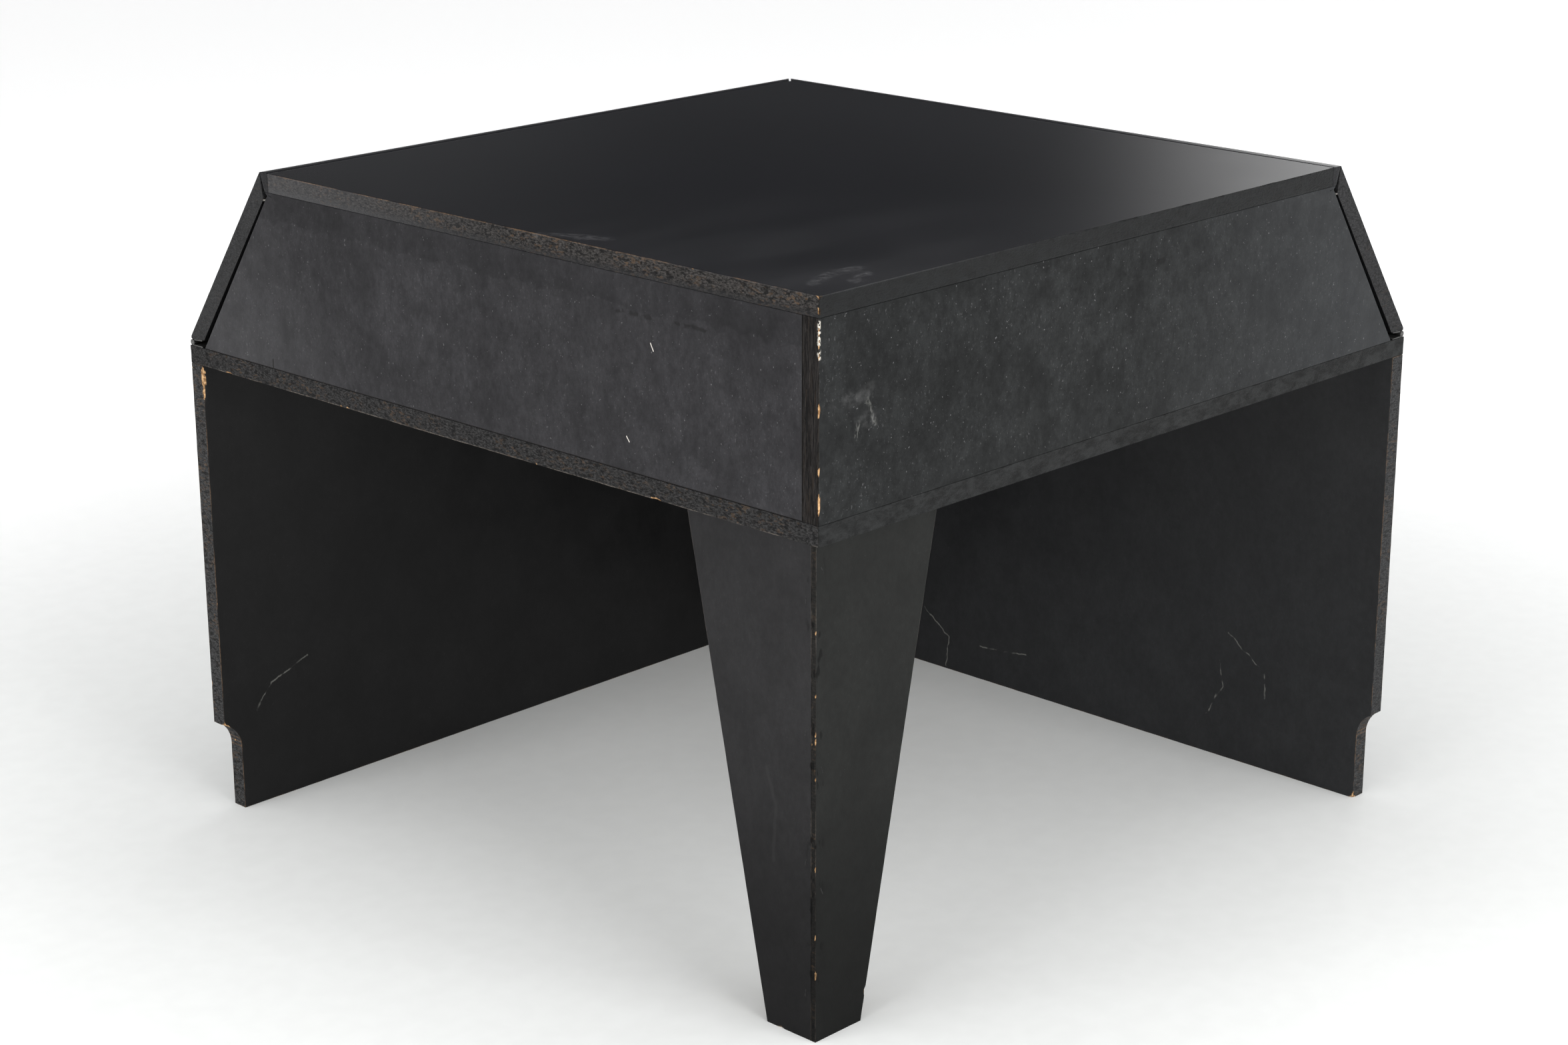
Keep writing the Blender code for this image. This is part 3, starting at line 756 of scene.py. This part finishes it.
def make_leg():
    """Each skin is painted darker towards the foot, which is painted shade, and has small dark ticks along
    the corner joint.
    """
    thin = {"roughness": 0.42, "specular": 0.07, "dabs": 0.09, "specks": 0.15}
    # The right skin's tint is darker than the left one's: partly the paint's own tone, and partly painted
    # shade for the side that faces -Y.
    left = Paint("leg_left_paint", (0.0170, 0.0167, 0.0174, 1), (0.016, 0.013, 0.012, 1), **thin)
    right = Paint("leg_right_paint", (0.0112, 0.0117, 0.0110, 1), (0.012, 0.010, 0.009, 1), **thin)
    x, y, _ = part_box("leg_right_skin")[0]
    small_chips = (0.402, 0.343, 0.306, 0.300, 0.297, 0.262, 0.174, 0.106)
    right_knocks = [((x, y, z), 0.0022, 0.0010) for z in small_chips]
    right_knocks += [((x, y, 0.068), 0.005, 0.0020), ((-0.334, y, 0.029), 0.005, 0.0018)]
    left_knocks = [((x, -0.356, 0.001), 0.004, 0.0012)]
    arc = [[(x, -0.338, 0.258), (x, -0.350, 0.222), (x, -0.346, 0.168)]]
    left.mark(left.times(left.strokes(arc, 0.0028, 0.004, 60), 0.08), (0.08, 0.08, 0.08, 1))
    skins = (("left", left, (-1, 0, 0), left_knocks), ("right", right, (0, -1, 0), right_knocks))
    for side, look, front, knocks in skins:
        # Painted shade: each skin's colour is darkened towards the foot, near the floor.
        look.colour = look.scaled(look.colour, look.ramp(look.axis(2), 0.0, 0.42, 0.42, 1.0))
        off = look.vector("SUBTRACT", look.here, (x, y, 0))
        corner = look.vector("LENGTH", look.vector("MULTIPLY", off, (1, 1, 0)))
        sparse = look.ramp(look.noise(120, 2, (1, 1, 0.4)), 0.60, 0.66)
        ticks = look.times(look.ramp(corner, 0.016, 0.003), sparse)
        look.mark(look.times(ticks, 0.8), (0.0015, 0.0015, 0.0015, 1))
        name = f"leg_{side}_skin"
        make_board(name, "frame", front, look, even(0.5), even(0.55), filled=True, knocks=knocks)


# Other materials


def softwood(name, grain):
    """Sawn softwood with its grain along an axis, given as the noise's stretch."""
    look = Look(name)
    rings = look.noise(26, 3, grain, rough=0.6)
    lines = look.ramp(look.noise(150, 3, grain), 0.35, 0.65)
    colour = look.mix(look.ramp(rings, 0.4, 0.6), (0.47, 0.31, 0.17, 1), (0.32, 0.19, 0.09, 1))
    colour = look.mix(look.times(lines, 0.35), colour, (0.22, 0.12, 0.055, 1))
    overspray = look.ramp(look.noise(9, 4), 0.5, 0.7)
    colour = look.mix(look.times(overspray, 0.5), colour, (0.05, 0.045, 0.04, 1))
    look.bump(lines, 0.25, 0.001)
    return look.done(colour, look.ramp(rings, 0.3, 0.7, 0.7, 0.85))


def zinc(name):
    look = Look(name, metallic=1.0)
    bloom = look.noise(120, 4)
    colour = look.mix(look.ramp(bloom, 0.35, 0.7), (0.40, 0.40, 0.385, 1), (0.27, 0.27, 0.26, 1))
    spray = look.ramp(look.noise(16, 4, rough=0.6), 0.30, 0.62)
    colour = look.mix(look.times(spray, 0.85), colour, (0.03, 0.03, 0.03, 1))
    return look.done(colour, look.ramp(bloom, 0.3, 0.7, 0.35, 0.6))


def steel(name, tint):
    look = Look(name, metallic=0.9)
    tarnish = look.noise(300, 3)
    colour = look.mix(look.ramp(tarnish, 0.4, 0.7), tint, tuple(0.5 * c for c in tint[:3]) + (1,))
    return look.done(colour, look.ramp(tarnish, 0.3, 0.7, 0.4, 0.65))


def pad():
    look = Look("pad_matt")
    stains = look.noise(400, 3)
    colour = look.mix(look.ramp(stains, 0.4, 0.7), (0.17, 0.16, 0.145, 1), (0.08, 0.075, 0.07, 1))
    return look.done(colour, look.ramp(stains, 0.3, 0.7, 0.8, 0.95))


def dress_nodes():
    """Materials for the CAD nodes that stay, by their slot."""
    grains = {0: (0.06, 1, 1), 1: (1, 0.06, 1), 2: (1, 1, 0.06)}
    woods = {axis: softwood(f"softwood_{'xyz'[axis]}", grain) for axis, grain in grains.items()}
    looks = {
        "zinc_plate": zinc("zinc_plate"),
        "hinge_steel": steel("hinge_steel", (0.20, 0.20, 0.195, 1)),
        "dark_staple": steel("staple_steel", (0.030, 0.030, 0.030, 1)),
        "pale_pad": pad(),
    }
    for row in frame["record"]["subparts"]:
        node = frame["nodes"][row["node"]]
        if node.hide_render:
            continue
        material = looks.get(row["material_slot"])
        if material is None:
            low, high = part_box(row["node"])
            size = high - low
            material = woods[max(range(3), key=lambda axis: size[axis])]
        node.data.materials.clear()
        node.data.materials.append(material)


# Surroundings


def make_camera():
    data = bpy.data.cameras.new("camera")
    data.lens = LENS_MM
    data.sensor_width = SENSOR_MM
    camera = bpy.data.objects.new("camera", data)
    bpy.context.scene.collection.objects.link(camera)
    turn = CAMERA_AIM.to_track_quat("-Z", "Y").to_matrix().to_4x4()
    camera.matrix_world = Matrix.Translation(CAMERA_PLACE) @ turn @ Matrix.Rotation(CAMERA_ROLL, 4, "Z")
    bpy.context.scene.camera = camera


def make_floor():
    half = FLOOR_SIZE / 2
    mesh = bpy.data.meshes.new("floor")
    corners = [(-half, -half, 0), (half, -half, 0), (half, half, 0), (-half, half, 0)]
    mesh.from_pydata(corners, [], [(0, 1, 2, 3)])
    floor = bpy.data.objects.new("floor", mesh)
    bpy.context.scene.collection.objects.link(floor)
    look = Look("floor")
    # Painted light: away from the object the floor is painted whiter and made to glow, so it fades into a
    # bright backdrop.
    far = look.ramp(look.vector("LENGTH", look.here), 0.7, 2.3)
    mottle = look.ramp(look.noise(40, 4), 0.3, 0.7, 0.99, 1.01)
    colour = look.scaled(look.mix(far, FLOOR_GREY, FLOOR_WHITE), mottle)
    look.shader.inputs["Emission Color"].default_value = FLOOR_WHITE
    look.feed(look.shader.inputs["Emission Strength"], look.times(far, 0.35))
    mesh.materials.append(look.done(colour, look.ramp(mottle, 0.99, 1.01, 0.58, 0.62)))


def area_light(name, place, aim, size, power):
    data = bpy.data.lights.new(name, "AREA")
    data.shape = "RECTANGLE"
    data.size, data.size_y = size
    data.energy = power
    light = bpy.data.objects.new(name, data)
    bpy.context.scene.collection.objects.link(light)
    light.location = place
    light.rotation_euler = (Vector(aim) - Vector(place)).to_track_quat("-Z", "Y").to_euler()


def make_lights():
    middle = (0, 0, 0.5)
    area_light("left_box", (-3.6, 0.2, 1.3), middle, (2.6, 2.2), 80)
    area_light("right_box", (-0.2, -3.6, 1.3), middle, (2.6, 2.2), 105)
    area_light("top_box", (0.2, 0.2, 3.6), middle, (3.0, 3.0), 40)


def make_world():
    """Bright all round and dark up behind the object, with two soft patches that the top reflects."""
    world = bpy.data.worlds.new("studio")
    world.use_nodes = True
    bpy.context.scene.world = world
    tree = world.node_tree
    background = tree.nodes["Background"]
    background.inputs["Strength"].default_value = 1.0
    sky = tree.nodes.new("ShaderNodeTexCoord").outputs["Generated"]

    def facing(direction, low, high, first, last):
        dot = tree.nodes.new("ShaderNodeVectorMath")
        dot.operation = "DOT_PRODUCT"
        dot.inputs[1].default_value = Vector(direction).normalized()
        tree.links.new(sky, dot.inputs[0])
        ramp = tree.nodes.new("ShaderNodeMapRange")
        ramp.interpolation_type = "SMOOTHSTEP"
        for key, value in (("From Min", low), ("From Max", high), ("To Min", first), ("To Max", last)):
            ramp.inputs[key].default_value = value
        tree.links.new(dot.outputs["Value"], ramp.inputs["Value"])
        return ramp.outputs["Result"]

    def math_node(operation, first, second):
        node = tree.nodes.new("ShaderNodeMath")
        node.operation = operation
        tree.links.new(first, node.inputs[0])
        tree.links.new(second, node.inputs[1])
        return node.outputs[0]

    behind = facing((0.69, 0.72, 0), 0.1, 0.5, 0.0, 1.0)
    high = facing((0, 0, 1), 0.02, 0.12, 0.0, 1.0)
    dark = math_node("MULTIPLY", behind, high)
    mix = tree.nodes.new("ShaderNodeMix")
    mix.data_type = "RGBA"
    mix.inputs[6].default_value = (1.0, 1.0, 1.0, 1)
    mix.inputs[7].default_value = (0.010, 0.011, 0.016, 1)
    tree.links.new(dark, mix.inputs[0])
    patch = facing((0.90, 0.40, 0.19), 0.969, 0.993, 0.0, 2.4)
    glow = facing((0.50, 0.85, 0.16), 0.970, 0.992, 0.0, 0.09)
    lit = tree.nodes.new("ShaderNodeVectorMath")
    tree.links.new(mix.outputs[2], lit.inputs[0])
    tree.links.new(math_node("ADD", patch, glow), lit.inputs[1])
    tree.links.new(lit.outputs[0], background.inputs["Color"])


make_camera()
make_floor()
make_lights()
make_world()
make_top()
make_base()
make_fascias()
make_side_panels()
make_flaps()
make_leg()
dress_nodes()

bpy.context.scene.view_settings.view_transform = "Standard"
